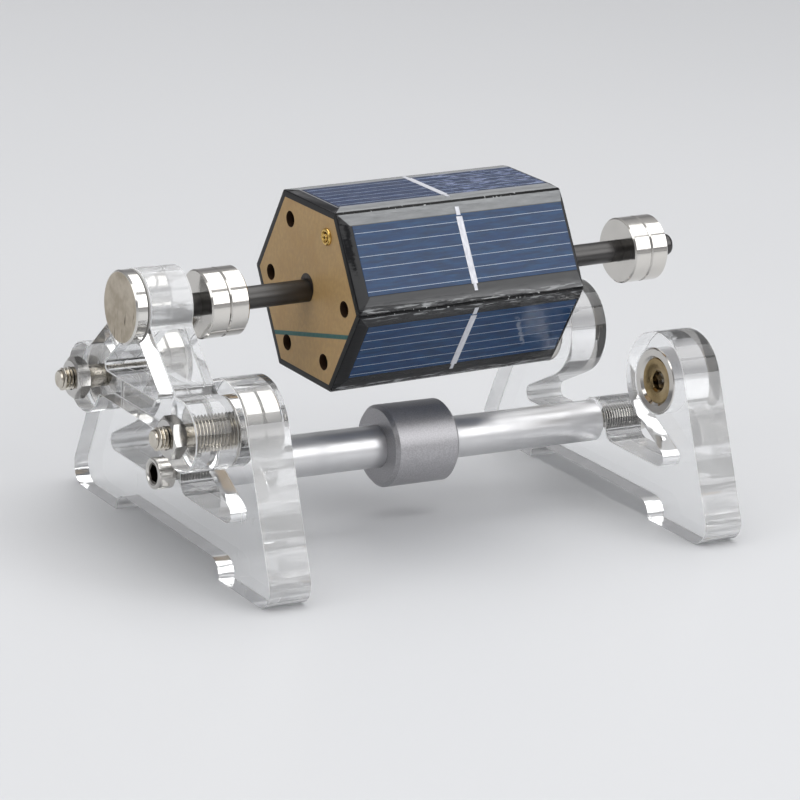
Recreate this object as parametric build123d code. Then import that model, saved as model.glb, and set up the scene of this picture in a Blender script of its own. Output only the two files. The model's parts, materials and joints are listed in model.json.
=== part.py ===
from build123d import *
import math
import os

# A solar-powered demonstration motor. A six-sided rotor floats on ring magnets above two
# clear frame plates, and a small bracket with a disc magnet steadies one end of its shaft.
# All sizes are in millimetres. X runs along the rotor, Y across the plates, Z is up.

# Frame plates, cut from clear sheet
plate_thick = 10.0
plate_gap = 100.0
foot_span = 91.9
foot_radius = 4.5
lobe_pitch = 45.0
lobe_height = 32.2
lobe_radius = 11.2
arch_length = 48.6
arch_height = 4.1
arch_radius = 4.0
window_floor = 13.3
pocket_pitch = 52.2
pocket_radius = 2.0
hub_radius = 5.3
hub_fillet = 2.6

# Cross rod and the grey ring magnet that gives the field
rod_height = 16.4
rod_diameter = 9.5
rod_hole_depth = 12.0
field_diameter = 18.5
field_length = 16.4
field_chamfer = 0.8

# Thrust bracket, cut from clear sheet
bracket_thick = 10.0
bracket_lobe_radius = 7.8
bracket_top_radius = 8.1
bracket_top_height = 54.1
bar_width = 6.4
bar_rise = 1.4
bar_fillet = 1.6
window_fillet = 1.2
thrust_diameter = 15.8
thrust_thick = 2.9
pad_thick = 0.3

# Ring magnets: a stack in each lobe and a stack at each end of the shaft
magnet_diameter = 15.0
magnet_chamfer = 0.35
base_magnet_thick = 4.2
base_magnet_bore = 5.4
base_stack = 2
ring_thick = 4.5
ring_stack = 2
left_ring_start = 4.8
right_ring_start = 2.9

# Fasteners
lobe_screw_diameter = 5.0
rod_screw_diameter = 4.0
cap_head_diameter = 7.0
cap_head_height = 4.0
cap_socket = 3.6
cap_socket_depth = 2.2
rod_screw_length = 18.0
flat_head_diameter = 10.2
flat_head_recess = 0.45
flat_socket = 4.0
flat_socket_depth = 1.8
long_screw_length = 26.0
short_screw_length = 16.0
nut_width = 8.0
nut_thick = 3.2
nut_turn = 8.0
nut_chamfer_angle = 30.0

# Rotor
rotor_height = 54.9
rotor_tilt = 1.8
rotor_length = 56.7
shaft_diameter = 5.0
shaft_stub = 5.2
shaft_round = 1.0
tip_diameter = 3.0
tip_length = 1.4
tip_stem = 5.0
tip_gap = 0.3
end_plate_radius = 21.2
end_plate_thick = 1.6
end_hole_diameter = 3.6
end_hole_circle = 32.2
eyelet_flange_diameter = 4.8
eyelet_flange_thick = 0.3
eyelet_hole_diameter = 2.2
panel_thick = 1.6
panel_gap = 0.06
cell_length = 53.0
cell_width = 15.6
cell_thick = 0.2
cell_shift = 1.1
cell_rise = 0.5
bus_width = 1.5
bus_overhang = 1.6
bus_thick = 0.12

# Windings inside the rotor
core_width = 26.0
coil_width = 9.4
coil_depth = 3.0
coil_strand = 2.0
coil_step = 0.15
coil_end_gap = 0.25
winding_names = ["a", "b", "c"]

# Clearances
fit_gap = 0.05
hole_gap = 0.15

sides = 6
side_angle = 360 / sides
inner_face = plate_gap / 2
outer_face = inner_face + plate_thick
lobe_offset = lobe_pitch / 2
stack_depth = base_stack * base_magnet_thick
wall_thick = plate_thick - stack_depth
rotor_half = rotor_length / 2
panel_inset = end_plate_radius * math.cos(math.radians(side_angle / 2))
panel_face = panel_inset + panel_thick
shaft_tip_end = -outer_face + tip_gap
shaft_start = shaft_tip_end + tip_length
left_rings = -outer_face + left_ring_start
right_rings = inner_face + right_ring_start
shaft_end = right_rings + ring_stack * ring_thick + shaft_stub
core_half = rotor_half - end_plate_thick - coil_end_gap
core_half -= len(winding_names) * (coil_strand + coil_step)
screw_reach = long_screw_length - (stack_depth + wall_thick + bracket_thick)


def row_shift():
    """Move along X that puts the middle of the whole length on the origin."""
    tilt = math.radians(rotor_tilt)
    corner = shaft_diameter / 2 - shaft_round
    high = (shaft_end - shaft_round) * math.cos(tilt) + corner * math.sin(tilt) + shaft_round
    low = -outer_face - bracket_thick - screw_reach
    return -(low + high) / 2


def bar_x(radius, x_from, x_to, y=0.0, z=0.0):
    """Round bar along X."""
    disc = Plane.YZ.offset(x_from) * Pos(y, z) * Circle(radius)
    return extrude(disc, amount=x_to - x_from)


def prism_x(sketch, x_from, x_to):
    """Solid whose outline lies in the YZ plane."""
    return extrude(Plane.YZ.offset(x_from) * sketch, amount=x_to - x_from)


def hex_x(width, x_from, x_to, y=0.0, z=0.0, turn=0.0):
    """Hexagonal bar along X, by its width across flats."""
    outline = Pos(y, z) * RegularPolygon(width / 2, 6, major_radius=False, rotation=turn)
    return prism_x(outline, x_from, x_to)


def cross_tangent(small, small_radius, large, large_radius):
    """Points where a line touches the top of one circle and the underside of another."""
    gap_y = large[0] - small[0]
    gap_z = large[1] - small[1]
    gap = math.hypot(gap_y, gap_z)
    across = (small_radius + large_radius) / gap
    along = math.sqrt(1 - across**2)
    normal_y = across * gap_y / gap + along * gap_z / gap
    normal_z = across * gap_z / gap - along * gap_y / gap
    on_small = (small[0] + small_radius * normal_y, small[1] + small_radius * normal_z)
    on_large = (large[0] - large_radius * normal_y, large[1] - large_radius * normal_z)
    return on_small, on_large


def lobe_discs(radius, height=lobe_height):
    """One disc at each lobe, in a plate's outline."""
    return Pos(-lobe_offset, height) * Circle(radius) + Pos(lobe_offset, height) * Circle(radius)


def plate_outline():
    """Wide foot, two round lobes and the open cut-out between them."""
    foot_y = foot_span / 2 - foot_radius
    feet = Pos(-foot_y, foot_radius) * Circle(foot_radius)
    feet += Pos(foot_y, foot_radius) * Circle(foot_radius)
    corners = feet.edges() + lobe_discs(lobe_radius).edges()
    outline = make_hull(corners)
    arch = RectangleRounded(arch_length, 2 * arch_height, arch_radius)
    pocket = (pocket_pitch / 2, window_floor + pocket_radius)
    lobe = (lobe_offset, lobe_height)
    above = lobe_height + 2 * lobe_radius
    on_pocket, on_lobe = cross_tangent(pocket, pocket_radius, lobe, lobe_radius)
    floor_end = (pocket[0], window_floor)
    right_side = [(0, window_floor), floor_end, on_pocket, on_lobe, lobe, (lobe[0], above), (0, above)]
    half = make_face(Polyline(*right_side, close=True))
    half += Pos(*pocket) * Circle(pocket_radius)
    cut = half + mirror(half, Plane.YZ)
    cut -= lobe_discs(lobe_radius)
    hub = Pos(0, rod_height) * Circle(hub_radius)
    hub += Pos(0, window_floor - hub_radius / 2) * Rectangle(hub_radius, hub_radius)
    cut -= hub
    foot_of_hub = []
    for corner in cut.vertices():
        on_floor = abs(corner.Y - window_floor) < 0.01
        if on_floor and abs(corner.X) < hub_radius + 0.01:
            foot_of_hub.append(corner)
    cut = fillet(foot_of_hub, hub_fillet)
    return outline - arch - cut


def frame_plate(side):
    """Clear plate; side is -1 for the thrust end and 1 for the free end."""
    inner = side * inner_face
    outer = side * outer_face
    plate = prism_x(plate_outline(), min(inner, outer), max(inner, outer))
    for lobe_y in (-lobe_offset, lobe_offset):
        seat = inner + side * stack_depth
        pocket_ends = sorted((inner, seat))
        plate -= bar_x(magnet_diameter / 2 + fit_gap, *pocket_ends, lobe_y, lobe_height)
        hole_ends = sorted((seat, outer))
        plate -= bar_x(lobe_screw_diameter / 2 + hole_gap, *hole_ends, lobe_y, lobe_height)
    hub_ends = sorted((inner, outer))
    plate -= bar_x(rod_screw_diameter / 2 + hole_gap, *hub_ends, 0, rod_height)
    return plate


def bracket_outline():
    """Three lobes joined by bars round an open triangle."""
    bar_y = lobe_offset
    bar_z = lobe_height + bar_rise
    corners = [(-bar_y, bar_z), (bar_y, bar_z), (0, bracket_top_height)]
    middle = make_face(Polyline(*corners, close=True))
    outer = offset(middle, bar_width / 2, kind=Kind.ARC)
    inner = offset(middle, -bar_width / 2, kind=Kind.INTERSECTION)
    inner = fillet(inner.vertices(), window_fillet)
    lobes = lobe_discs(bracket_lobe_radius)
    lobes += Pos(0, bracket_top_height) * Circle(bracket_top_radius)
    outline = outer + lobes
    kinks = []
    for corner in outline.vertices():
        low_reach = math.hypot(abs(corner.X) - lobe_offset, corner.Y - lobe_height)
        top_reach = math.hypot(corner.X, corner.Y - bracket_top_height)
        on_low_lobe = abs(low_reach - bracket_lobe_radius) < 0.01
        if on_low_lobe or abs(top_reach - bracket_top_radius) < 0.01:
            kinks.append(corner)
    outline = fillet(kinks, bar_fillet)
    return outline - inner


def thrust_bracket():
    """Clear bracket that stands against the outer face of the left plate."""
    ends = (-outer_face - bracket_thick, -outer_face)
    bracket = prism_x(bracket_outline(), *ends)
    for lobe_y in (-lobe_offset, lobe_offset):
        bracket -= bar_x(lobe_screw_diameter / 2 + hole_gap, *ends, lobe_y, lobe_height)
    return bracket


def thrust_pad():
    """Thin round bonding pad behind the disc magnet."""
    back = -outer_face - bracket_thick
    return bar_x(thrust_diameter / 2, back - pad_thick, back, 0, bracket_top_height)


def thrust_magnet():
    """Disc magnet on the bracket, in line with the shaft."""
    back = -outer_face - bracket_thick - pad_thick
    disc = bar_x(thrust_diameter / 2, back - thrust_thick, back, 0, bracket_top_height)
    return chamfer(disc.edges().filter_by(GeomType.CIRCLE), magnet_chamfer)


def cross_rod():
    """Turned rod between the plates, drilled at both ends for its screws."""
    rod = bar_x(rod_diameter / 2, -inner_face, inner_face, 0, rod_height)
    rod = chamfer(rod.edges().filter_by(GeomType.CIRCLE), field_chamfer / 2)
    hole_radius = rod_screw_diameter / 2 + fit_gap
    rod -= bar_x(hole_radius, -inner_face, -inner_face + rod_hole_depth, 0, rod_height)
    rod -= bar_x(hole_radius, inner_face - rod_hole_depth, inner_face, 0, rod_height)
    return rod


def field_magnet():
    """Grey ring magnet that slides on the rod under the rotor."""
    ring = bar_x(field_diameter / 2, -field_length / 2, field_length / 2, 0, rod_height)
    ring = chamfer(ring.edges().filter_by(GeomType.CIRCLE), field_chamfer)
    bore = rod_diameter / 2 + fit_gap
    return ring - bar_x(bore, -field_length, field_length, 0, rod_height)


def base_magnet(side, lobe_y, layer):
    """Ring in a lobe; layer 0 shows its countersunk face towards the rotor."""
    face = side * (inner_face + layer * base_magnet_thick)
    back = face + side * base_magnet_thick
    ends = sorted((face, back))
    ring = bar_x(magnet_diameter / 2, *ends, lobe_y, lobe_height)
    ring = chamfer(ring.edges().filter_by(GeomType.CIRCLE), magnet_chamfer)
    ring -= bar_x(base_magnet_bore / 2, *ends, lobe_y, lobe_height)
    if layer == 0:
        mouth = flat_head_diameter / 2 + flat_head_recess + 2 * fit_gap
        throat = base_magnet_bore / 2
        sink = Cone(throat, mouth, mouth - throat)
        turn = Rotation(0, -90 * side, 0)
        sink = Pos(face + side * (mouth - throat) / 2, lobe_y, lobe_height) * turn * sink
        ring -= sink
    return ring


def flat_screw(side, lobe_y, length):
    """Countersunk socket screw through a lobe, its head just below the magnet's face."""
    radius = lobe_screw_diameter / 2
    head = flat_head_diameter / 2
    depth = head - radius
    top = inner_face + flat_head_recess
    cone = Cone(radius, head, depth)
    cone = Rotation(0, -90 * side, 0) * cone
    cone = Pos(side * (top + depth / 2), lobe_y, lobe_height) * cone
    ends = sorted((side * (top + depth), side * (inner_face + length)))
    screw = cone + bar_x(radius, *ends, lobe_y, lobe_height)
    socket = sorted((side * top, side * (top + flat_socket_depth)))
    return screw - hex_x(flat_socket, *socket, lobe_y, lobe_height)


def hex_nut(side, lobe_y, seat):
    """Hexagon nut whose inner face lies on seat."""
    ends = sorted((seat, seat + side * nut_thick))
    nut = hex_x(nut_width, *ends, lobe_y, lobe_height, nut_turn)
    face = nut_width / 2 * 0.95
    wide = face + nut_thick / math.tan(math.radians(nut_chamfer_angle))
    middle = seat + side * nut_thick / 2
    for way in (-90, 90):
        nut &= Pos(middle, lobe_y, lobe_height) * Rotation(0, way, 0) * Cone(wide, face, nut_thick)
    return nut - bar_x(lobe_screw_diameter / 2 + fit_gap, *ends, lobe_y, lobe_height)


def rod_screw(side):
    """Socket cap screw through a plate's hub into the rod."""
    head_ends = sorted((side * outer_face, side * (outer_face + cap_head_height)))
    head = bar_x(cap_head_diameter / 2, *head_ends, 0, rod_height)
    top = side * (outer_face + cap_head_height)
    rim = [edge for edge in head.edges().filter_by(GeomType.CIRCLE) if abs(edge.center().X - top) < 0.01]
    head = chamfer(rim, magnet_chamfer)
    socket = sorted((top, top - side * cap_socket_depth))
    head -= hex_x(cap_socket, *socket, 0, rod_height)
    shank = sorted((side * outer_face, side * (outer_face - rod_screw_length)))
    return head + bar_x(rod_screw_diameter / 2, *shank, 0, rod_height)


def rotor_shaft():
    """Dark steel shaft, bored at the left end for its tip."""
    shaft = bar_x(shaft_diameter / 2, shaft_start, shaft_end)
    rim = [edge for edge in shaft.edges().filter_by(GeomType.CIRCLE) if edge.center().X > 0]
    shaft = fillet(rim, shaft_round)
    return shaft - bar_x(tip_diameter / 2 + fit_gap, shaft_start, shaft_start + tip_stem)


def shaft_tip():
    """Hardened pin with a domed nose that runs against the bracket."""
    pin = bar_x(tip_diameter / 2, shaft_tip_end, shaft_start + tip_stem)
    rim = [edge for edge in pin.edges().filter_by(GeomType.CIRCLE) if edge.center().X < shaft_start]
    return fillet(rim, tip_diameter / 2 * 0.8)


def rotor_ring(start):
    """Plain ring magnet on the shaft."""
    ring = bar_x(magnet_diameter / 2, start, start + ring_thick)
    ring = chamfer(ring.edges().filter_by(GeomType.CIRCLE), magnet_chamfer)
    return ring - bar_x(shaft_diameter / 2 + fit_gap, start, start + ring_thick)


def end_plate(side):
    """Six-sided brown board at one end of the rotor, with a hole near each corner."""
    ends = sorted((side * rotor_half, side * (rotor_half - end_plate_thick)))
    board = prism_x(RegularPolygon(end_plate_radius, sides), *ends)
    board -= bar_x(shaft_diameter / 2 + fit_gap, *ends)
    for index in range(sides):
        angle = math.radians(index * side_angle)
        hole_y = end_hole_circle / 2 * math.cos(angle)
        hole_z = end_hole_circle / 2 * math.sin(angle)
        board -= bar_x(end_hole_diameter / 2, *ends, hole_y, hole_z)
    return board


def brass_eyelet():
    """Rivet in the upper front hole of the left board."""
    angle = math.radians(2 * side_angle)
    eye_y = end_hole_circle / 2 * math.cos(angle)
    eye_z = end_hole_circle / 2 * math.sin(angle)
    barrel = end_hole_diameter / 2 - fit_gap
    flange = eyelet_flange_diameter / 2
    face = -rotor_half
    eyelet = bar_x(barrel, face, face + end_plate_thick, eye_y, eye_z)
    eyelet += bar_x(flange, face - eyelet_flange_thick, face, eye_y, eye_z)
    ends = (face - eyelet_flange_thick, face + end_plate_thick)
    return eyelet - bar_x(eyelet_hole_diameter / 2, *ends, eye_y, eye_z)


def turned(solid, index):
    """Turn a solid from the top of the rotor to one of its sides."""
    return Rotation(index * side_angle, 0, 0) * solid


def solar_panel(index):
    """Backing board of one side, mitred to its neighbours."""
    slope = math.tan(math.radians(side_angle / 2))
    low = panel_inset + panel_gap / 2
    low_half = low * slope - panel_gap
    high_half = panel_face * slope - panel_gap
    corners = [(-low_half, low), (low_half, low), (high_half, panel_face), (-high_half, panel_face)]
    outline = make_face(Polyline(*corners, close=True))
    return turned(prism_x(outline, -rotor_half, rotor_half), index)


def solar_cell(index):
    """Blue cell bonded to one panel."""
    cell = Pos(cell_shift, cell_rise, panel_face + cell_thick / 2) * Box(cell_length, cell_width, cell_thick)
    return turned(cell, index)


def bus_strip(index):
    """Silver collector strip across the middle of one cell."""
    height = panel_face + cell_thick + bus_thick / 2
    reach = cell_width + 2 * bus_overhang
    strip = Pos(cell_shift, cell_rise, height) * Box(bus_width, reach, bus_thick)
    return turned(strip, index)


def rotor_core():
    """Six-sided former that carries the windings."""
    outline = RegularPolygon(core_width / 2, sides, major_radius=False)
    core = prism_x(outline, -core_half, core_half)
    return core - bar_x(shaft_diameter / 2 + fit_gap, -core_half, core_half)


def winding(order):
    """Flat coil along the rotor; its end turns pass the shaft on both sides."""
    inner = core_width / 2 + fit_gap
    outer = inner + coil_depth
    near = core_half + order * (coil_strand + coil_step) + coil_step
    far = near + coil_strand
    coil = Part()
    for side in (-1, 1):
        leg = Pos(0, 0, side * (inner + outer) / 2) * Box(2 * far, coil_width, coil_depth)
        coil += leg
    strand_width = coil_width / 2 - shaft_diameter / 2 - coil_step
    strand_y = coil_width / 2 - strand_width / 2
    for end in (-1, 1):
        for side in (-1, 1):
            strand = Box(coil_strand, strand_width, 2 * outer)
            coil += Pos(end * (near + far) / 2, side * strand_y, 0) * strand
    return turned(coil, order)


def stand_parts():
    """Every piece that stays still."""
    parts = {}
    parts["left_frame_plate"] = frame_plate(-1)
    parts["right_frame_plate"] = frame_plate(1)
    parts["thrust_bracket"] = thrust_bracket()
    parts["thrust_pad"] = thrust_pad()
    parts["thrust_magnet"] = thrust_magnet()
    parts["cross_rod"] = cross_rod()
    parts["field_magnet"] = field_magnet()
    left_seat = -outer_face - bracket_thick
    for row, lobe_y in (("front", -lobe_offset), ("back", lobe_offset)):
        for layer in range(base_stack):
            parts[f"base_magnet_left_{row}_{layer + 1}"] = base_magnet(-1, lobe_y, layer)
            parts[f"base_magnet_right_{row}_{layer + 1}"] = base_magnet(1, lobe_y, layer)
        parts[f"lobe_screw_left_{row}"] = flat_screw(-1, lobe_y, long_screw_length)
        parts[f"lobe_screw_right_{row}"] = flat_screw(1, lobe_y, short_screw_length)
        parts[f"lobe_nut_left_{row}"] = hex_nut(-1, lobe_y, left_seat)
        parts[f"lobe_nut_right_{row}"] = hex_nut(1, lobe_y, outer_face)
    parts["rod_screw_left"] = rod_screw(-1)
    parts["rod_screw_right"] = rod_screw(1)
    return parts


def rotor_parts():
    """Every piece that spins, built about the X axis."""
    parts = {}
    parts["rotor_shaft"] = rotor_shaft()
    parts["shaft_tip"] = shaft_tip()
    for layer in range(ring_stack):
        parts[f"rotor_ring_left_{layer + 1}"] = rotor_ring(left_rings + layer * ring_thick)
        parts[f"rotor_ring_right_{layer + 1}"] = rotor_ring(right_rings + layer * ring_thick)
    parts["end_plate_left"] = end_plate(-1)
    parts["end_plate_right"] = end_plate(1)
    parts["brass_eyelet"] = brass_eyelet()
    parts["rotor_core"] = rotor_core()
    for order, letter in enumerate(winding_names):
        parts[f"coil_{letter}"] = winding(order)
    for index in range(sides):
        parts[f"solar_panel_{index + 1}"] = solar_panel(index)
        parts[f"solar_cell_{index + 1}"] = solar_cell(index)
        parts[f"bus_strip_{index + 1}"] = bus_strip(index)
    return parts


os.makedirs("parts", exist_ok=True)
shift = row_shift()
stand_place = Pos(shift, 0, 0)
rotor_place = Pos(shift, 0, rotor_height) * Rotation(0, -rotor_tilt, 0)
for name, solid in stand_parts().items():
    export_step(stand_place * solid, f"parts/{name}.step")
for name, solid in rotor_parts().items():
    export_step(rotor_place * solid, f"parts/{name}.step")
print("shift along X", round(shift, 3))
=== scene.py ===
import json
import math

import bmesh
import bpy
from mathutils import Matrix, Vector


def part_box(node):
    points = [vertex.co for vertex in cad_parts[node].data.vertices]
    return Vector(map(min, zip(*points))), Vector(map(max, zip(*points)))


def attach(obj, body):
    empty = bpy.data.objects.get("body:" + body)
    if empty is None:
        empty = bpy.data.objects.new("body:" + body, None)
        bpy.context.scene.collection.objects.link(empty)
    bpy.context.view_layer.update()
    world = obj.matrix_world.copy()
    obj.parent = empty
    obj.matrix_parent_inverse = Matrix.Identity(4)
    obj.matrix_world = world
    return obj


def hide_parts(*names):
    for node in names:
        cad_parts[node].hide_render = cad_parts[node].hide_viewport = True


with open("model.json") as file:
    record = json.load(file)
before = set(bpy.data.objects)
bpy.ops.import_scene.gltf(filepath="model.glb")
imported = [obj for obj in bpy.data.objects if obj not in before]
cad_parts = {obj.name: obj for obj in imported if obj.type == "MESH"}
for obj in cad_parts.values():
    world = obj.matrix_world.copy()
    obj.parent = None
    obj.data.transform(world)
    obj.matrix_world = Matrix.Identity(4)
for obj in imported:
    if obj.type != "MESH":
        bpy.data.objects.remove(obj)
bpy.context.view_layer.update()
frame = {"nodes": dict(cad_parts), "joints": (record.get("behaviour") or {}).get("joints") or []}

# Studio: a plain pale floor, a soft overhead box, two side boxes and a pale room round them.
# The camera stands where the photograph was taken from, in front of the thrust end.
mm = 0.001


def tint(red, green, blue):
    """A colour as the screen shows it, from 0 to 255, turned into Blender's linear light."""
    linear = []
    for part in (red, green, blue):
        share = part / 255
        linear.append(share / 12.92 if share <= 0.04045 else ((share + 0.055) / 1.055) ** 2.4)
    return (*linear, 1.0)


class Value:
    """A number that varies over a surface; sums on it add their Math nodes."""

    def __init__(self, finish, socket):
        self.finish = finish
        self.socket = socket

    def sum(self, operation, first, second):
        """Adds one Math node."""
        return self.finish.node("Math", {"operation": operation}, {0: first, 1: second})

    def __add__(self, other):
        return self.sum("ADD", self, other)

    __radd__ = __add__

    def __sub__(self, other):
        return self.sum("SUBTRACT", self, other)

    def __rsub__(self, other):
        return self.sum("SUBTRACT", other, self)

    def __mul__(self, other):
        return self.sum("MULTIPLY", self, other)

    __rmul__ = __mul__

    def __truediv__(self, other):
        return self.sum("DIVIDE", self, other)

    def __gt__(self, other):
        return self.sum("GREATER_THAN", self, other)

    def __lt__(self, other):
        return self.sum("LESS_THAN", self, other)

    def __abs__(self):
        return self.sum("ABSOLUTE", self, 0.0)

    def __pow__(self, other):
        return self.sum("POWER", self, other)


class Finish:
    """One material: a Principled shader and the nodes that vary over its surface."""

    def __init__(self, name, **plain):
        self.material = bpy.data.materials.new(name)
        self.material.use_nodes = True
        self.tree = self.material.node_tree
        self.shader = self.tree.nodes["Principled BSDF"]
        for socket, value in plain.items():
            label = socket.replace("_", " ").title().replace("Ior", "IOR")
            self.shader.inputs[label].default_value = value

    def node(self, kind, settings=None, sockets=None, output=0):
        """Adds a node: its settings first, then the values or links of its sockets."""
        made = self.tree.nodes.new("ShaderNode" + kind)
        for key, value in (settings or {}).items():
            if key == "stops":
                ramp = made.color_ramp
                while len(ramp.elements) < len(value):
                    ramp.elements.new(0.5)
                for stop, (place, colour) in zip(ramp.elements, value):
                    stop.position = place
                    stop.color = colour
            else:
                setattr(made, key, value)
        for key, value in (sockets or {}).items():
            self.feed(made.inputs[key], value)
        return Value(self, made.outputs[output])

    def feed(self, socket, value):
        """Links a varying value to a socket, or sets a plain one."""
        if isinstance(value, Value):
            self.tree.links.new(value.socket, socket)
        else:
            socket.default_value = value

    def vary(self, socket, value):
        """Feeds one of the shader's own sockets."""
        self.feed(self.shader.inputs[socket], value)

    def place(self, source="Object", location=(0, 0, 0), turn=(0, 0, 0), scale=(1, 1, 1)):
        """Coordinates on the piece, in metres, moved, turned and stretched as asked."""
        seat = self.node("TexCoord", output=source)
        sockets = {"Vector": seat, "Location": location, "Rotation": turn, "Scale": scale}
        return self.node("Mapping", None, sockets)

    def part(self, place, axis):
        """One coordinate of a place: X, Y or Z."""
        return self.node("SeparateXYZ", None, {0: place}, output="XYZ".index(axis))

    def noise(self, place, scale, detail=2.0, rough=0.5):
        """Soft random values from 0 to 1."""
        sockets = {"Vector": place, "Scale": scale, "Detail": detail, "Roughness": rough}
        return self.node("TexNoise", None, sockets)

    def ramp(self, value, *stops):
        """Turns a value into a colour by its stops."""
        return self.node("ValToRGB", {"stops": stops}, {0: value})

    def step(self, value, low, high, start=0.0, end=1.0):
        """Smooth step from start to end as value goes from low to high."""
        sockets = {"Value": value, 1: low, 2: high, 3: start, 4: end}
        return self.node("MapRange", {"interpolation_type": "SMOOTHSTEP"}, sockets)

    def mix(self, share, first, second):
        """Mixes two colours."""
        sockets = {0: share, 6: first, 7: second}
        return self.node("Mix", {"data_type": "RGBA"}, sockets, output=2)

    def bump(self, height, depth):
        """Relief from a height between 0 and 1, depth in metres."""
        return self.node("Bump", None, {"Height": height, "Distance": depth})

    def end_on(self):
        """1 where the surface faces along X, and 0 where it faces sideways."""
        return abs(self.part(self.node("NewGeometry", output="Normal"), "X"))


floor_radius = 6.0
work = bmesh.new()
bmesh.ops.create_circle(work, cap_ends=True, segments=96, radius=floor_radius)
floor_mesh = bpy.data.meshes.new("floor")
work.to_mesh(floor_mesh)
work.free()
floor = bpy.data.objects.new("floor", floor_mesh)
bpy.context.scene.collection.objects.link(floor)
floor_finish = Finish("pale_floor", roughness=0.42)
floor_place = floor_finish.place()
cloud = floor_finish.noise(floor_place, 3.0)
floor_finish.vary("Base Color", floor_finish.mix(cloud, tint(203, 204, 206), tint(209, 210, 212)))
floor.data.materials.append(floor_finish.material)

room = bpy.data.worlds.new("pale_room")
room.use_nodes = True
bpy.context.scene.world = room
room_finish = Finish.__new__(Finish)  # only its nodes are wanted: a room has no Principled shader
room_finish.tree = room.node_tree
sky = room_finish.node("TexCoord", output="Generated")
rise = room_finish.part(sky, "Z")
room_colour = room_finish.ramp(
    rise * 0.5 + 0.5,
    (0.50, (0.60, 0.60, 0.61, 1)),
    (0.57, (0.36, 0.36, 0.37, 1)),
    (0.72, (0.28, 0.28, 0.29, 1)),
    (1.0, (0.85, 0.85, 0.85, 1)),
)
backdrop = room.node_tree.nodes["Background"]
room_finish.feed(backdrop.inputs["Color"], room_colour)
backdrop.inputs["Strength"].default_value = 1.0


def softbox(name, place, aim, width, height, glow):
    """Area lamp whose face has the radiance glow."""
    lamp = bpy.data.lights.new(name, "AREA")
    lamp.shape = "RECTANGLE"
    lamp.size = width
    lamp.size_y = height
    lamp.energy = glow * math.pi * width * height
    box = bpy.data.objects.new(name, lamp)
    bpy.context.scene.collection.objects.link(box)
    turn = (Vector(aim) - Vector(place)).to_track_quat("-Z", "Y")
    box.matrix_world = Matrix.Translation(place) @ turn.to_matrix().to_4x4()


softbox("overhead_box", place=(0.15, 0.05, 1.10), aim=(0, 0, 0), width=1.50, height=1.20, glow=1.8)
softbox("left_box", place=(-1.05, -0.12, 0.70), aim=(0, 0, 0.04), width=0.60, height=0.80, glow=1.7)
softbox("front_box", place=(0.62, -1.00, 0.66), aim=(0, 0, 0.03), width=1.00, height=0.80, glow=2.4)

camera_place = (-0.37290, -0.59868, 0.24015)
yaw, pitch, roll = -0.559, 0.29367, 0.065
camera_data = bpy.data.cameras.new("photo_camera")
camera_data.lens = 149.4
camera_data.sensor_width = 36.0
camera_data.clip_start = 0.01
camera = bpy.data.objects.new("photo_camera", camera_data)
bpy.context.scene.collection.objects.link(camera)
sight = Matrix.Rotation(yaw, 4, "Z") @ Matrix.Rotation(math.pi / 2 - pitch, 4, "X")
camera.matrix_world = Matrix.Translation(camera_place) @ sight @ Matrix.Rotation(roll, 4, "Z")
bpy.context.scene.camera = camera
bpy.context.scene.view_settings.view_transform = "Standard"

# Frame plates and thrust bracket: clear acrylic sheet, 10 mm thick, cut to outline.
# The broad faces keep the sheet's polish; the lobes' edges are polished too, and the legs' edges
# are left milky from the cutter. Every rim has a hair-thin chamfer.
clear_base = (0.975, 0.98, 0.982, 1)
rim_chamfer = 0.22 * mm
sharp_corner = math.radians(50)
air_gap = 0.03 * mm
bore_reach = 3.2 * mm
hub_tapped = 1.5 * mm
lobe_tapped = 1.9 * mm
hub_polish = 9 * mm
lobe_polish = 10.5 * mm
leg_top = 27 * mm
top_lobe_floor = 46 * mm
nodes = frame["nodes"]


def merged(node):
    """A copy of a CAD node's mesh with its loose triangles joined up."""
    shape = bmesh.new()
    shape.from_mesh(nodes[node].data)
    bmesh.ops.remove_doubles(shape, verts=shape.verts, dist=0.002 * mm)
    bmesh.ops.dissolve_limit(shape, angle_limit=math.radians(0.4), verts=shape.verts, edges=shape.edges)
    return shape


def bevel(shape, edges, width, segments, clamp=False):
    """Breaks the edges with one flat, or rounds them with more."""
    bmesh.ops.bevel(shape, geom=edges, offset=width, segments=segments, profile=0.5, affect="EDGES",
                    material=-1, clamp_overlap=clamp)


def piece(shape, name, finishes, body, node, smooth=30):
    """Makes the object in place of its CAD node: its place is in its mesh, and it rides on its body."""
    mesh = bpy.data.meshes.new(name)
    for face in shape.faces:
        face.smooth = True
    shape.to_mesh(mesh)
    shape.free()
    mesh.set_sharp_from_angle(angle=math.radians(smooth))
    made = bpy.data.objects.new(name, mesh)
    bpy.context.scene.collection.objects.link(made)
    for finish in finishes:
        mesh.materials.append(finish.material)
    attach(made, body)
    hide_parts(node)


clear_face = Finish("acrylic_face", base_color=clear_base, transmission_weight=1.0, ior=1.49)
smudge = clear_face.noise(clear_face.place(), 90.0, 3.0)
scuff_lines = clear_face.noise(clear_face.place(turn=(0.5, 0, 0), scale=(1, 1, 0.03)), 1400.0, 2.0)
scuffs = clear_face.step(scuff_lines, 0.70, 0.76) * clear_face.step(smudge, 0.5, 0.62)
clear_face.vary("Roughness", clear_face.step(smudge, 0.45, 0.8, 0.0, 0.05) + scuffs * 0.3)


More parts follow.
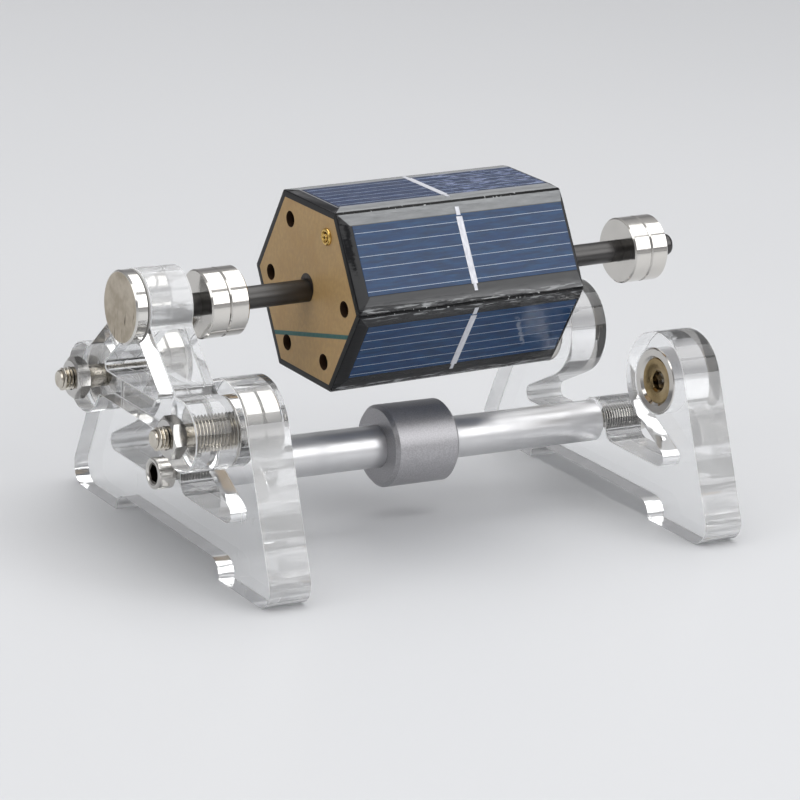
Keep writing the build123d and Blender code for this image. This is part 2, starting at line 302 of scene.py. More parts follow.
def edge_finish(name, clear, rough, relief, dull):
    """A cut edge: how clear it is, how rough in places, how deep its ripples are, and its dull tint."""
    finish = Finish(name, transmission_weight=clear, ior=1.49)
    place = finish.place(scale=(0.25, 1, 1))
    waves = finish.noise(place, 190.0, 1.0)
    patches = finish.noise(place, 110.0, 1.0)
    finish.vary("Roughness", finish.step(patches, 0.35, 0.7, 0.0, rough))
    finish.vary("Normal", finish.bump(waves, relief))
    finish.vary("Base Color", finish.mix(finish.step(patches, 0.42, 0.6), dull, clear_base))
    return finish


lobe_dull = (0.94, 0.945, 0.95, 1)
leg_dull = (0.86, 0.865, 0.87, 1)
lobe_edge = edge_finish("acrylic_lobe_edge", clear=0.94, rough=0.05, relief=0.05 * mm, dull=lobe_dull)
leg_edge = edge_finish("acrylic_leg_edge", clear=0.72, rough=0.06, relief=0.30 * mm, dull=leg_dull)
rim_base = (0.95, 0.955, 0.96, 1)
broken_rim = Finish("acrylic_broken_rim", base_color=rim_base, transmission_weight=0.35, ior=1.49)
chips = broken_rim.noise(broken_rim.place(), 1200.0)
broken_rim.vary("Roughness", broken_rim.step(chips, 0.3, 0.7, 0.25, 0.5))
lobe_low, lobe_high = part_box("base_magnet_left_front_1")
lobe_y = (lobe_low.y + lobe_high.y) / 2
lobe_z = (lobe_low.z + lobe_high.z) / 2
magnet_radius = (lobe_high.y - lobe_low.y) / 2
rod_low, rod_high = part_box("cross_rod")
rod_z = (rod_low.z + rod_high.z) / 2
bores = ((0, rod_z, hub_tapped), (lobe_y, lobe_z, lobe_tapped), (-lobe_y, lobe_z, lobe_tapped))

for sheet in ("left_frame_plate", "right_frame_plate", "thrust_bracket"):
    shape = merged(sheet)
    sharp = [edge for edge in shape.edges if edge.is_manifold and edge.calc_face_angle(0) > sharp_corner]
    bevel(shape, sharp, rim_chamfer, 1, clamp=True)
    low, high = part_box(sheet)
    middle = (low.x + high.x) / 2
    thinner = 1 - 2 * air_gap / (high.x - low.x)
    for vert in shape.verts:
        vert.co.x = middle + (vert.co.x - middle) * thinner
        for axis_y, axis_z, tapped in bores:
            from_axis = math.hypot(vert.co.y - axis_y, vert.co.z - axis_z)
            if from_axis < bore_reach:
                vert.co.y = axis_y + (vert.co.y - axis_y) * tapped / from_axis
                vert.co.z = axis_z + (vert.co.z - axis_z) * tapped / from_axis
    for face in shape.faces:
        centre = face.calc_center_median()
        from_lobe = math.hypot(abs(centre.y) + lobe_y, centre.z - lobe_z)
        from_hub = math.hypot(centre.y, centre.z - rod_z)
        slant = abs(face.normal.x)
        if slant > 0.9 or from_lobe < magnet_radius + 0.1 * mm or from_hub < bore_reach:
            face.material_index = 0
        elif slant > 0.5:
            face.material_index = 3
        else:
            leg = from_lobe > lobe_polish and centre.z < leg_top and from_hub > hub_polish
            face.material_index = 2 if leg or centre.z > top_lobe_floor else 1
    finishes = (clear_face, lobe_edge, leg_edge, broken_rim)
    piece(shape, sheet + "_clear", finishes, "stand", sheet)

# Lobe magnets: nickel-plated rings in stacks of two, pressed into the plates' round lobes.
# The one that faces the rotor is countersunk for its screw; the plating has a few fine scratches.


def nickel_finish(name, base, low, high):
    """Plated metal: bright, with soft patches of handling and hair scratches."""
    finish = Finish(name, metallic=1.0)
    place = finish.place()
    hazy = finish.noise(place, 160.0, 3.0)
    hair = finish.noise(finish.place(turn=(0.7, 0.4, 0.3), scale=(1, 0.05, 1)), 900.0, 2.0)
    finish.vary("Base Color", finish.mix(hazy, base, [part * 0.86 for part in base[:3]] + [1]))
    finish.vary("Roughness", finish.step(hazy, 0.35, 0.75, low, high))
    finish.vary("Normal", finish.bump(hair, 0.004 * mm))
    return finish


nickel = nickel_finish("nickel_plate", tint(214, 211, 206), 0.07, 0.17)


def dress(name, finish):
    """Gives a CAD node its finish."""
    mesh = nodes[name].data
    mesh.materials.clear()
    mesh.materials.append(finish.material)


for end in ("left", "right"):
    for row in ("front", "back"):
        for layer in (1, 2):
            dress(f"base_magnet_{end}_{row}_{layer}", nickel)

# Lobe screws: M5 socket screws countersunk in the magnets. Their heads are bronzed, and their bare
# threads run through the clear sheet and end in broken tips beyond the nuts.
core_steps = 24
thread_steps = 14
ring_steps = 48
hexagon = "hexagon"


def thread(shape, start, end, centre_y, centre_z, radius, pitch):
    """A threaded shank along X from start to end: a core with a broken tip and a closed ridge."""
    along = 1 if end > start else -1
    length = abs(end - start)
    tip = 0.3 * mm
    core = radius - 0.6 * pitch
    foot = core - 0.08 * mm
    crest = 0.06 * mm
    half = pitch * 0.46
    peak = half * 1.1
    axis_point = (start, centre_y, centre_z)

    def corners(rows):
        """Points above the axis: how far along it, and how far out from it."""
        return [shape.verts.new((start + along * far, centre_y, centre_z + out)) for far, out in rows]

    points = corners([(0, 0), (0, core), (length - tip, core), (length, core - tip), (length, 0)])
    rims = [shape.edges.new(pair) for pair in zip(points, points[1:])]
    bmesh.ops.spin(shape, geom=points + rims, cent=axis_point, axis=(1, 0, 0), dvec=(0, 0, 0),
                   angle=math.tau, steps=core_steps, use_merge=True, use_duplicate=False)
    ridge = [(peak - half, foot), (peak + half, foot), (peak + crest, radius), (peak - crest, radius)]
    face = shape.faces.new(corners(ridge))
    turns = (length - tip) / pitch - 0.9
    steps = int(turns * thread_steps)
    advance = along * pitch / thread_steps
    bmesh.ops.spin(shape, geom=[face], cent=axis_point, axis=(1, 0, 0), dvec=(advance, 0, 0),
                   angle=math.tau * steps / thread_steps, steps=steps, use_merge=False, use_duplicate=False)


def close_up(shape):
    """Merges doubles and turns the faces outwards."""
    bmesh.ops.remove_doubles(shape, verts=shape.verts, dist=0.001 * mm)
    bmesh.ops.recalc_face_normals(shape, faces=shape.faces)


def head(shape, top_x, inward, centre_y, centre_z, rows):
    """A closed screw head of bridged rings: rows of depth and radius in mm, and hexagon for the socket."""
    rings = []
    for depth, size, *form in rows:
        verts = bmesh.ops.create_circle(shape, cap_ends=False, segments=ring_steps, radius=1.0)["verts"]
        for vert in verts:
            angle = math.atan2(vert.co.y, vert.co.x)
            reach = size * mm
            if form:
                reach /= math.cos(math.radians(math.degrees(angle) % 60 - 30))
            across, up = reach * math.cos(angle), reach * math.sin(angle)
            vert.co = (top_x + inward * depth * mm, centre_y + across, centre_z + up)
        rings.append(list(dict.fromkeys(edge for vert in verts for edge in vert.link_edges)))
    for first, second in zip(rings, rings[1:]):
        bmesh.ops.bridge_loops(shape, edges=first + second)
    for rim in (rings[0], rings[-1]):
        bmesh.ops.contextual_create(shape, geom=rim)


bronzed_to = 51.5 * mm
bare_from = 53.5 * mm
socket_reach = 2.05 * mm
root_radius = 2.08 * mm
flank_radius = 2.26 * mm
between = (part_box("left_frame_plate")[1].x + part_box("right_frame_plate")[0].x) / 2
bronze = Finish("bronzed_steel", metallic=1.0)
bronze_place = bronze.place()
stain = bronze.noise(bronze_place, 500.0, 3.0)
bare = bronze.step(abs(bronze.part(bronze_place, "X") - between), bronzed_to, bare_from)
bronzed = bronze.mix(stain, tint(178, 158, 118), tint(120, 101, 70))
threaded = bronze.mix(stain, tint(220, 216, 207), tint(182, 174, 160))
off_y = abs(bronze.part(bronze_place, "Y")) - abs(lobe_y)
off_z = bronze.part(bronze_place, "Z") - lobe_z
off_axis = (off_y * off_y + off_z * off_z) ** 0.5
# Painted shade: the roots between the thread crests are painted dark.
painted_root_shade = (1 - bronze.step(off_axis, root_radius, flank_radius)) * (bronze.end_on() < 0.5)
threaded = bronze.mix(painted_root_shade, threaded, tint(84, 78, 69))
# Painted shade: the hex socket in the head is painted dark brown.
bronzed = bronze.mix(off_axis < socket_reach, bronzed, tint(60, 46, 28))
bronze.vary("Base Color", bronze.mix(bare, bronzed, threaded))
bronze.vary("Roughness", bronze.step(stain, 0.3, 0.7, 0.12, 0.26))

flat_rim = 4.96
flat_head = [(2.6, 2.2), (2.6, 2.5), (0.3, 4.8), (0.12, flat_rim), (0.0, 4.85), (0.16, 2.75), (0.3, 2.5),
             (0.55, 2.0, hexagon), (1.9, 2.0, hexagon), (2.3, 0.5)]
for end, inward in (("left", -1), ("right", 1)):
    for row in ("front", "back"):
        node = f"lobe_screw_{end}_{row}"
        low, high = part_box(node)
        centre_y = (low.y + high.y) / 2
        centre_z = (low.z + high.z) / 2
        face_x, tip_x = (high.x, low.x) if inward < 0 else (low.x, high.x)
        grown = (high.y - low.y) / 2 / (flat_rim * mm)
        rows = [(depth, size * grown if size > 4 else size, *form) for depth, size, *form in flat_head]
        shape = bmesh.new()
        head(shape, face_x, inward, centre_y, centre_z, rows)
        thread(shape, face_x + inward * 2.5 * mm, tip_x, centre_y, centre_z, radius=2.5 * mm, pitch=0.8 * mm)
        close_up(shape)
        piece(shape, node + "_threaded", (bronze,), "stand", node, 35)

# Nuts and rod screws: bright plated steel. The nuts clamp the bracket and the magnets; the two
# socket cap screws go through the plates' hubs into the aluminium rod.
steel = nickel_finish("bright_steel", tint(202, 200, 197), 0.12, 0.24)
for end in ("left", "right"):
    for row in ("front", "back"):
        dress(f"lobe_nut_{end}_{row}", steel)
head_from = 60 * mm
screw_root = 1.60 * mm
socket_more = 0.55 * mm
screw_steel = Finish("rod_screw_steel", metallic=1.0)
screw_place = screw_steel.place(location=(-between, 0, -rod_z))
off_y = screw_steel.part(screw_place, "Y")
off_z = screw_steel.part(screw_place, "Z")
off_axis = (off_y * off_y + off_z * off_z) ** 0.5
in_head = abs(screw_steel.part(screw_place, "X")) > head_from
# Painted shade: the socket in the head and the thread roots on the shank are painted dark.
painted_hollow_shade = 1 - screw_steel.step(off_axis - in_head * socket_more - screw_root, 0.08 * mm, 0.22 * mm)
handled = screw_steel.noise(screw_place, 300.0, 3.0)
plated = screw_steel.mix(handled, tint(216, 214, 210), tint(190, 187, 182))
shaded = screw_steel.mix(in_head, tint(56, 53, 48), tint(104, 100, 94))
screw_steel.vary("Base Color", screw_steel.mix(painted_hollow_shade, plated, shaded))
screw_steel.vary("Roughness", screw_steel.step(handled, 0.3, 0.7, 0.14, 0.26))
cap_head = [(4.0, 1.8), (4.0, 3.35), (3.85, 3.5), (0.5, 3.5), (0.22, 3.42), (0.06, 3.22), (0.0, 3.0),
            (0.0, 2.65), (0.4, 2.25), (0.5, 1.8, hexagon), (2.2, 1.8, hexagon), (2.5, 0.5)]
for end, inward in (("left", 1), ("right", -1)):
    node = f"rod_screw_{end}"
    low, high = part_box(node)
    centre_y = (low.y + high.y) / 2
    centre_z = (low.z + high.z) / 2
    top_x, tip_x = (low.x, high.x) if inward > 0 else (high.x, low.x)
    shape = bmesh.new()
    head(shape, top_x, inward, centre_y, centre_z, cap_head)
    thread(shape, top_x + inward * 3.9 * mm, tip_x, centre_y, centre_z, radius=2.0 * mm, pitch=0.7 * mm)
    close_up(shape)
    piece(shape, node + "_threaded", (screw_steel,), "stand", node, 35)

# Cross rod: turned aluminium bar, polished, with faint lathe rings. A screw in each end clamps it
# between the plates' hubs, so it holds the plates apart.
rod_finish = Finish("turned_aluminium", metallic=0.72)
ring_place = rod_finish.place(scale=(1, 0.02, 0.02))
rings = rod_finish.noise(ring_place, 1500.0, 2.0)
wide_rings = rod_finish.noise(ring_place, 120.0, 2.0)
rod_finish.vary("Base Color", rod_finish.mix(wide_rings, tint(222, 222, 223), tint(206, 206, 208)))
rod_finish.vary("Roughness", rod_finish.step(wide_rings, 0.3, 0.7, 0.28, 0.42))
rod_finish.vary("Normal", rod_finish.bump(rings, 0.012 * mm))
dress("cross_rod", rod_finish)

# Field magnet: grey sintered ring with chamfered rims, slid on the rod. It is unplated, so it is
# matt and finely speckled.
field = Finish("grey_sintered_magnet", metallic=0.65)
field_place = field.place()
speckle = field.noise(field_place, 3200.0, 3.0, 0.6)
cloudy = field.noise(field_place, 140.0, 3.0)
grey = field.mix(field.step(speckle, 0.36, 0.66), tint(156, 155, 158), tint(184, 183, 186))
field.vary("Base Color", field.mix(cloudy * 0.5, grey, tint(170, 169, 172)))
field.vary("Roughness", field.step(speckle, 0.35, 0.65, 0.33, 0.48))
field.vary("Normal", field.bump(speckle, 0.008 * mm))
dress("field_magnet", field)

# Thrust disc: a plated disc magnet stuck to the bracket by a thin grey pad. Its face is scuffed
# brown where the plating is worn, and its rim is still bright.
thrust = Finish("worn_thrust_disc", metallic=1.0)
low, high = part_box("thrust_magnet")
disc_y = (low.y + high.y) / 2
disc_z = (low.z + high.z) / 2
disc_radius = (high.y - low.y) / 2
thrust_place = thrust.place(location=(0, -disc_y, -disc_z))
across = thrust.part(thrust_place, "Y")
up = thrust.part(thrust_place, "Z")
reach = (across * across + up * up) ** 0.5
foremost = thrust.part(thrust_place, "X") < low.x + 0.08 * mm
on_face = foremost * (1 - thrust.step(reach, disc_radius * 0.93, disc_radius * 0.97))
scuff = thrust.noise(thrust_place, 420.0, 4.0, 0.65)
blot = thrust.noise(thrust_place, 150.0, 3.0, 0.6)
blots = thrust.step(blot * 0.6 + scuff * 0.4, 0.38, 0.62)
worn = thrust.mix(blots, tint(176, 165, 148), tint(204, 195, 180))
scratch_place = thrust.place(location=(0, -disc_y, -disc_z), turn=(0.6, 0, 0), scale=(1, 1, 0.12))
grooves = thrust.step(thrust.noise(scratch_place, 1500.0, 2.0), 0.62, 0.7)
scratch = grooves * thrust.step(across * -0.6 - up, -2 * mm, 4 * mm)
worn = thrust.mix(scratch, worn, tint(92, 82, 70))
thrust.vary("Base Color", thrust.mix(on_face, tint(212, 210, 206), worn))
thrust.vary("Roughness", 0.1 + on_face * (0.28 + scuff * 0.25))
thrust.vary("Normal", thrust.bump(scuff * on_face, 0.03 * mm))
dress("thrust_magnet", thrust)

pad = Finish("grey_bonding_pad", roughness=0.7)
grain = pad.noise(pad.place(), 1500.0, 2.0)
pad.vary("Base Color", pad.mix(grain, tint(150, 149, 147), tint(172, 171, 168)))
dress("thrust_pad", pad)

# Rotor shaft: ground dark steel bar with faint turning lines; a hardened tip is pressed into its
# left end. The plain ring magnets at both ends are plated as bright as mirrors.
joint = frame["joints"][0]
spin_point = Vector(joint["pos_m"])
spin_axis = Vector(joint["axis"])
tilt = math.atan2(spin_axis.z, spin_axis.x)
seat = Matrix.Translation(spin_point) @ Matrix.Rotation(-tilt, 4, "Y")
shaft_finish = Finish("dark_ground_steel", metallic=1.0)
shaft_place = shaft_finish.place(scale=(1, 0.03, 0.03))
lines = shaft_finish.noise(shaft_place, 1300.0, 3.0)
bands = shaft_finish.noise(shaft_place, 90.0, 2.0)
shaft_finish.vary("Base Color", shaft_finish.mix(bands, tint(66, 65, 65), tint(92, 91, 90)))
shaft_finish.vary("Roughness", shaft_finish.step(bands, 0.3, 0.7, 0.24, 0.4))
shaft_finish.vary("Normal", shaft_finish.bump(lines, 0.012 * mm))
dress("rotor_shaft", shaft_finish)
dress("shaft_tip", steel)
for end in ("left", "right"):
    for layer in (1, 2):
        dress(f"rotor_ring_{end}_{layer}", nickel)

# End boards: brown phenolic paper board with sawn edges, a hole near each corner, and a thin teal
# line printed across the left board. The sawn edges and hole walls are painted dark brown: partly their burnt
# cut, partly painted shade inside the holes.
rotor_length = 56.7 * mm
rotor_half = rotor_length / 2
stripe_slope = -0.234
stripe_drop = 10.8 * mm
stripe_half = 0.5 * mm
board = Finish("phenolic_board")
board_place = board.place(turn=(0, tilt, 0))
centred = board.place(location=(0, 0, -spin_point.z))
side_y = board.part(centred, "Y")
side_z = board.part(centred, "Z")
fibre = board.noise(board.place(scale=(1, 1, 0.7)), 1300.0, 3.0)
mottle = board.noise(board_place, 110.0, 3.0)
paper = board.mix(board.step(fibre, 0.35, 0.7), tint(176, 144, 96), tint(187, 155, 106))
paper = board.mix(board.step(mottle, 0.4, 0.75) * 0.4, paper, tint(166, 129, 78))
shaft_ring = 1 - board.step((side_y * side_y + side_z * side_z) ** 0.5, 2.85 * mm, 2.98 * mm)
paper = board.mix(shaft_ring, paper, tint(44, 32, 22))
# Sawn edges and hole walls painted dark brown: partly the burnt cut edge, partly painted shade inside the
# holes.
paper = board.mix(board.end_on() < 0.5, paper, tint(58, 40, 26))
stripe_off = abs(side_z + stripe_drop - side_y * stripe_slope)
on_stripe = 1 - board.step(stripe_off, stripe_half * 0.8, stripe_half * 1.2)
left_face = board.part(board.place(), "X") < spin_point.x - 20 * mm
board.vary("Base Color", board.mix(on_stripe * left_face, paper, tint(40, 96, 92)))
board.vary("Roughness", board.step(fibre, 0.3, 0.7, 0.42, 0.56))
board.vary("Normal", board.bump(fibre, 0.02 * mm))
for end in ("left", "right"):
    dress(f"end_plate_{end}", board)

# Eyelet: a small brass rivet, pushed through the left board's upper front hole and rolled over into
# a bead. The end of a wire lies curled in its bore.
eyelet_depth = 1.6
bore = 1.0
barrel = 1.7
bead = 0.46
bead_lift = 0.15
wire = 0.32 * mm
curl = 0.62 * mm
brass = Finish("brass", metallic=1.0)
tarnish = brass.noise(brass.place(), 900.0, 3.0)
brass.vary("Base Color", brass.mix(tarnish, tint(232, 198, 118), tint(186, 146, 74)))
brass.vary("Roughness", brass.step(tarnish, 0.3, 0.7, 0.1, 0.22))
low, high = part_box("brass_eyelet")
eye = seat.inverted() @ Vector((low.x, (low.y + high.y) / 2, (low.z + high.z) / 2))
shape = bmesh.new()
roll_over = [(-bead_lift - bead * math.sin(turn), bore + bead - bead * math.cos(turn))
             for turn in (math.pi * step / 8 for step in range(9))]
profile = [(eyelet_depth, bore), *roll_over, (0.0, bore + 2 * bead), (0.0, barrel), (eyelet_depth, barrel)]
points = [shape.verts.new((-rotor_half + depth * mm, eye.y, eye.z + out * mm)) for depth, out in profile]
rims = [shape.edges.new(pair) for pair in zip(points, points[1:] + points[:1])]
bmesh.ops.spin(shape, geom=points + rims, cent=(0, eye.y, eye.z), axis=(1, 0, 0), dvec=(0, 0, 0),
               angle=math.tau, steps=32, use_merge=True, use_duplicate=False)
section = bmesh.ops.create_circle(shape, cap_ends=True, segments=10, radius=wire)["verts"]
curl_at = Vector((-rotor_half - 0.2 * mm, eye.y + 0.1 * mm, eye.z - 0.15 * mm))
bmesh.ops.translate(shape, verts=section, vec=curl_at + Vector((0, curl, 0)))
bmesh.ops.spin(shape, geom=list(section[0].link_faces), cent=curl_at, axis=(1, 0, 0), dvec=(-0.02 * mm, 0, 0),
               angle=math.radians(290), steps=20, use_merge=False, use_duplicate=False)
close_up(shape)
shape.transform(seat)
piece(shape, "brass_eyelet_rolled", (brass,), "rotor", "brass_eyelet", 50)

# Side panels: six dark boards, mitred to each other, each under a dome of clear resin whose
# borders slope down to the joints. The grey bands along those borders are painted reflection of light.
panel_inset = 18.36 * mm
panel_face = panel_inset + 1.6 * mm
panel_gap = 0.06 * mm
rim_drop = 0.14 * mm
cover = 0.13 * mm
margin = 0.3 * mm
cell_length = 53.0 * mm
cell_width = 15.6 * mm
cell_shift = 1.1 * mm
cell_rise = 0.5 * mm
crown_curve = 0.35 * mm
rim_curve = 0.22 * mm
resin_half = 11.4
left_border = 2.95
right_border = 0.75
side_border = 3.5
mitre = math.tan(math.radians(30))


def rotor_places(finish):
    """Places in mm along and over the side's own sheet, and in metres across and up the rotor at rest."""
    sheet = finish.place("UV")
    rotor = finish.place(location=tuple(-spin_point))
    return finish.part(sheet, "X"), finish.part(sheet, "Y"), finish.part(rotor, "Y"), finish.part(rotor, "Z")


resin = Finish("domed_resin", specular_ior_level=0.25)
along, over, level, height = rotor_places(resin)
streak = resin.noise(resin.place("UV", scale=(0.25, 1, 1)), 0.9, 3.0, 0.6)
long_band = resin.step(abs(over - cell_rise / mm), 7.7, 8.1)
end_gap = rotor_half / mm - abs(along)
side_gap = resin_half - abs(over)
end_border = left_border - (along > 0) * (left_border - right_border)
mitred = resin.step(end_gap / end_border - side_gap / side_border, -0.06, 0.06)
# Painted reflection: the grey border bands stand in for the light from above mirrored in the sloping resin.
band = resin.mix(streak, tint(152, 154, 155), tint(112, 114, 116))
# Painted shade: the bands on the lower panels are darker, with a painted highlight towards the ridge.
lower_panel_shade = 1 - resin.step(height, 6 * mm, 12 * mm)
ridge_shine = resin.step(abs(over), 8.4, 10.8)
band = resin.mix(lower_panel_shade * 0.85, band, resin.mix(ridge_shine, tint(34, 34, 36), tint(98, 98, 99)))
# Painted shade: bands on the panels below the middle are painted near black.
band = resin.mix((height < 1 * mm) * 0.8, band, tint(22, 23, 25))
# Painted highlight: crumpled light lines along the long rims, stronger at the lower seam.
ridge = resin.noise(resin.place("UV", scale=(0.22, 1.6, 1)), 1.0, 3.0, 0.6)
crumple_highlight = resin.step(ridge, 0.5, 0.62) * resin.step(abs(over), 9.4, 10.6)
band = resin.mix(crumple_highlight * (0.12 + lower_panel_shade * 0.6), band, tint(168, 170, 171))
shade = resin.mix(long_band * mitred, tint(9, 10, 13), band)
# Painted highlight: a pale line along the dome's lip, on the top panel only.
on_top = (abs(level) < 11 * mm) * (height > 12 * mm)
past_end = abs(along - cell_shift / mm) - (cell_length / 2 + margin) / mm
past_side = abs(over - cell_rise / mm) - (cell_width / 2 + margin) / mm
past = past_end.sum("MAXIMUM", past_end, past_side)
lip_highlight = (1 - resin.step(abs(past - 0.15), 0.1, 0.3)) * on_top
shade = resin.mix(lip_highlight * 0.6, shade, tint(150, 152, 158))
fleck = resin.step(resin.noise(resin.place("UV", scale=(1, 0.3, 1)), 1.3, 2.0), 0.66, 0.70)
seam = resin.step(abs(over), 10.97, 11.04)
below_front = (level < -9 * mm) * (height < -1 * mm)
shade = resin.mix(seam, shade, resin.mix(fleck, tint(8, 8, 10), tint(170, 172, 172)))
# Painted highlight: a bright broken line along the lower front panel's bottom edge.
bottom_edge_highlight = resin.step(over * -1, 11.0, 11.1) * resin.step(streak, 0.35, 0.5) * below_front
resin.vary("Base Color", resin.mix(bottom_edge_highlight * 0.8, shade, tint(184, 186, 188)))
wrinkle = resin.noise(resin.place("UV", scale=(0.3, 1, 1)), 0.55, 3.0, 0.6)
near_rim = resin.step(abs(over), 8.6, 10.6)
resin.vary("Roughness", 0.07 + streak * 0.1)
resin.vary("Normal", resin.bump(wrinkle * (0.12 + near_rim), 0.6 * mm))

backing = Finish("panel_board", roughness=0.55)
backing_grain = backing.noise(backing.place(), 900.0, 3.0)
backing.vary("Base Color", backing.mix(backing_grain, tint(18, 19, 20), tint(30, 31, 33)))


def flat_map(shape):
    """Stores each corner's place on the unrolled panel, in millimetres, as its UV."""
    layer = shape.loops.layers.uv.new("sheet")
    for face in shape.faces:
        for loop in face.loops:
            loop[layer].uv = (loop.vert.co.x / mm, loop.vert.co.y / mm)


def turned(shape, index):
    """Turns a shape from the top of the rotor to its side, and seats it on the shaft."""
    shape.transform(seat @ Matrix.Rotation(math.radians(60 * index), 4, "X"))


for index in range(6):
    shape = bmesh.new()
    bmesh.ops.create_cube(shape, size=1.0)
    low_z = panel_inset + panel_gap / 2
    rim_z = panel_face - rim_drop
    for vert in shape.verts:
        top = vert.co.z > 0
        vert.co.z = rim_z if top else low_z
        half = vert.co.z * mitre - panel_gap
        vert.co.y = math.copysign(half, vert.co.y)
        vert.co.x = math.copysign(rotor_half, vert.co.x)
    shape.normal_update()
    top_face = [face for face in shape.faces if face.normal.z > 0.9]
    bmesh.ops.inset_individual(shape, faces=top_face, thickness=2 * mm, depth=0.0)
    inside = rotor_half - 1 * mm
    crown = [vert for vert in shape.verts if vert.co.z > rim_z - 1e-7 and abs(vert.co.x) < inside]
    for vert in crown:
        vert.co.x = cell_shift + math.copysign(cell_length / 2 + margin, vert.co.x)
        vert.co.y = cell_rise + math.copysign(cell_width / 2 + margin, vert.co.y)
        vert.co.z = panel_face + cover
    crease = [edge for edge in shape.edges if all(v.co.z > panel_face for v in edge.verts)]
    bevel(shape, crease, crown_curve, 4)
    outer_rim = [edge for edge in shape.edges if edge.calc_face_angle(0) > math.radians(40)
                 and all(v.co.z > rim_z - 1e-6 for v in edge.verts)]
    bevel(shape, outer_rim, rim_curve, 3)
    bmesh.ops.recalc_face_normals(shape, faces=shape.faces)
    for face in shape.faces:
        face.material_index = 0 if face.normal.z > 0.05 else 1
    flat_map(shape)
    turned(shape, index)
    node = f"solar_panel_{index + 1}"
    piece(shape, node + "_domed", (resin, backing), "rotor", node, 40)

# Solar cells: thin dark blue wafers of cast silicon, whose crystals show as faint streaks, under
# the same clear resin as the panel.
cell_thick = 0.17 * mm
cell_curve = 0.09 * mm
glue_along = 13.0
glue_over = 5.5
glue_lean = 1.9
cell = Finish("blue_silicon", specular_ior_level=0.3)
wafer = cell.place("UV", scale=(0.35, 1, 1))
flakes = cell.node("TexVoronoi", None, {"Vector": wafer, "Scale": 0.55, "Randomness": 1.0}, output=1)
flake_value = cell.node("SeparateColor", None, {0: flakes}, output=0)
slip = cell.noise(cell.place("UV", turn=(0, 0, 0.5), scale=(0.2, 1.4, 1)), 0.8, 3.0, 0.65)
blue = cell.mix(cell.step(slip, 0.35, 0.7), tint(12, 43, 76), tint(19, 64, 103))
blue = cell.mix(flake_value * 0.5, blue, tint(14, 50, 94))
along, over, level, height = rotor_places(cell)
on_top = (abs(level) < 9.5 * mm) * (height > 12 * mm)
brushed = cell.noise(cell.place("UV", turn=(0, 0, -0.35), scale=(0.4, 1.6, 1)), 0.5, 4.0, 0.7)
rubbed = cell.step(brushed, 0.5, 0.62) * cell.step(along, -6.0, 8.0, 0.25, 1.0) * on_top
# Painted shade: the top cell is painted darker than the others.
blue = cell.mix(on_top * 0.5, blue, tint(24, 30, 66))
blue = cell.mix(rubbed * 0.7, blue, tint(134, 144, 178))
below_front = (level < -9 * mm) * (height < -1 * mm)
wander = cell.noise(cell.place("UV"), 0.7, 2.0)
glue_line = abs(over - glue_over + (along - glue_along) * glue_lean + (wander - 0.5) * 3.0)
glue_ends = 1 - cell.step(abs(over - cell_rise / mm), 3.6, 5.2)
glue = (1 - cell.step(glue_line, 0.5, 1.3)) * glue_ends * cell.step(wander, 0.3, 0.5)
cell.vary("Base Color", cell.mix(glue * below_front * 0.5, blue, tint(150, 156, 164)))
cell.vary("Roughness", 0.06 + flake_value * 0.14 + rubbed * 0.2)
cell.vary("Normal", cell.bump(cell.noise(cell.place("UV"), 0.12, 1.0), 0.25 * mm))
for index in range(6):
    shape = bmesh.new()
    bmesh.ops.create_cube(shape, size=1.0)
    middle = Matrix.Translation((cell_shift, cell_rise, panel_face + cell_thick / 2))
    shape.transform(middle @ Matrix.Diagonal((cell_length, cell_width, cell_thick, 1)))
    upper = [edge for edge in shape.edges if all(v.co.z > panel_face + cell_thick / 2 for v in edge.verts)]
    bevel(shape, upper, cell_curve, 2)
    flat_map(shape)
    turned(shape, index)
    node = f"solar_cell_{index + 1}"
    piece(shape, node + "_wafer", (cell,), "rotor", node, 25)

# Collector grid: a tinned copper strip across the middle of each cell, soldered to six hair-thin
# printed lines along it. The strip is broken by a small step where it leaves the cell.
bus_width = 1.5 * mm
bus_overhang = 1.6 * mm
bus_thick = 0.09 * mm
sunk = 0.02 * mm
lead_sunk = 0.25 * mm
lines_per_cell = 6
line_end = 0.15 * mm
line_pitch = 2.58 * mm
line_width = 0.10 * mm
line_thick = 0.03 * mm
line_offset = -0.4 * mm
silver = Finish("tinned_strip", metallic=0.3, specular_ior_level=0.3)
dull = silver.noise(silver.place("UV", scale=(1, 0.4, 1)), 1.6, 3.0)
from_strip = abs(silver.part(silver.place("UV"), "X") - cell_shift / mm)
strip_tint = silver.mix(dull, tint(222, 223, 228), tint(182, 184, 192))
line_tint = tint(168, 180, 196)
silver.vary("Base Color", silver.mix(silver.step(from_strip, 0.8, 1.0), strip_tint, line_tint))
silver.vary("Roughness", silver.step(dull, 0.3, 0.7, 0.36, 0.6))
silver.vary("Normal", silver.bump(dull, 0.05 * mm))


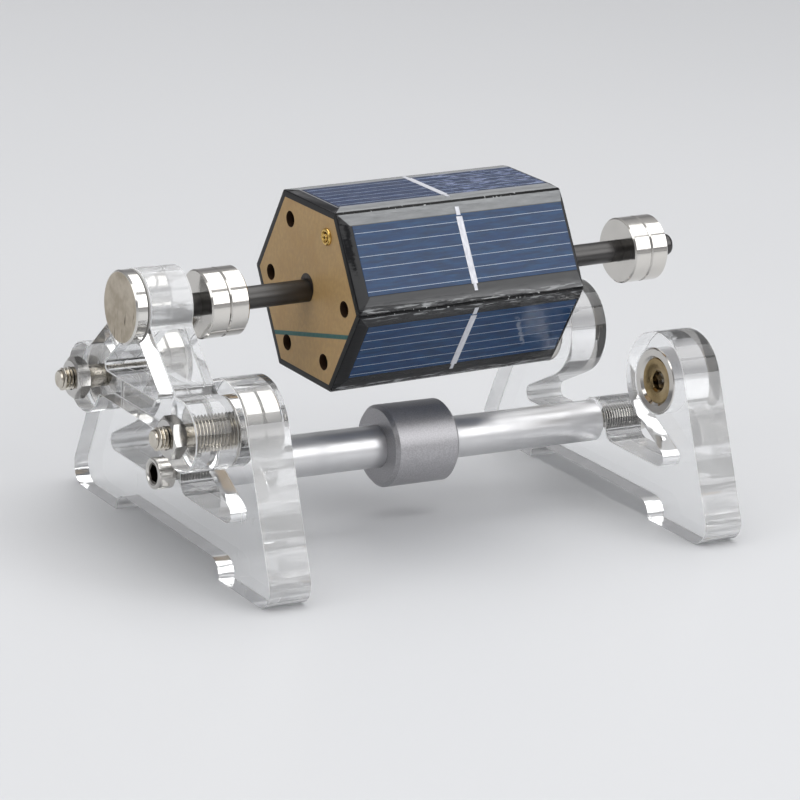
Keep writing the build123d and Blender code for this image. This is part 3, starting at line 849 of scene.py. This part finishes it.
def bar(shape, half_length, y_low, y_high, z_low, z_high):
    """Adds a square-edged bar, centred on the cell's middle along X."""
    box = bmesh.ops.create_cube(shape, size=1.0)["verts"]
    centre = Matrix.Translation((cell_shift, (y_low + y_high) / 2, (z_low + z_high) / 2))
    size = Matrix.Diagonal((2 * half_length, y_high - y_low, z_high - z_low, 1))
    bmesh.ops.transform(shape, verts=box, matrix=centre @ size)


cell_top = panel_face + cell_thick
low_edge = cell_rise - cell_width / 2
high_edge = cell_rise + cell_width / 2
lead_floor = panel_face - lead_sunk
lead_top = cell_top + sunk
half_bus = bus_width / 2
half_line = cell_length / 2 - line_end
for index in range(6):
    shape = bmesh.new()
    bar(shape, half_bus, low_edge - 0.1 * mm, high_edge - 0.6 * mm, cell_top - sunk, cell_top + bus_thick)
    bar(shape, half_bus - 0.25 * mm, high_edge - 0.3 * mm, high_edge + bus_overhang, lead_floor, lead_top)
    bar(shape, half_bus - 0.35 * mm, low_edge - bus_overhang, low_edge + 0.1 * mm, lead_floor, lead_top)
    for line in range(lines_per_cell):
        y = cell_rise + line_offset + (line - (lines_per_cell - 1) / 2) * line_pitch
        bar(shape, half_line, y - line_width / 2, y + line_width / 2, cell_top - sunk, cell_top + line_thick)
    flat_map(shape)
    turned(shape, index)
    node = f"bus_strip_{index + 1}"
    piece(shape, node + "_grid", (silver,), "rotor", node, 30)

# Inside the rotor: a dark moulded former with three flat coils of enamelled copper wire wound
# lengthwise over it. They can't be seen with the panels on.
former = Finish("moulded_former", roughness=0.5)
flow = former.noise(former.place(), 400.0)
former.vary("Base Color", former.mix(flow, tint(40, 38, 36), tint(54, 51, 48)))
dress("rotor_core", former)
copper = Finish("enamelled_copper", metallic=1.0)
wires = copper.node("TexWave", {"wave_type": "BANDS", "bands_direction": "Y"},
                    {"Vector": copper.place(), "Scale": 900.0, "Distortion": 0.4})
copper.vary("Base Color", copper.mix(wires, tint(120, 58, 28), tint(196, 110, 62)))
copper.vary("Roughness", 0.25 + wires * 0.15)
copper.vary("Normal", copper.bump(wires, 0.1 * mm))
for letter in ("a", "b", "c"):
    dress(f"coil_{letter}", copper)
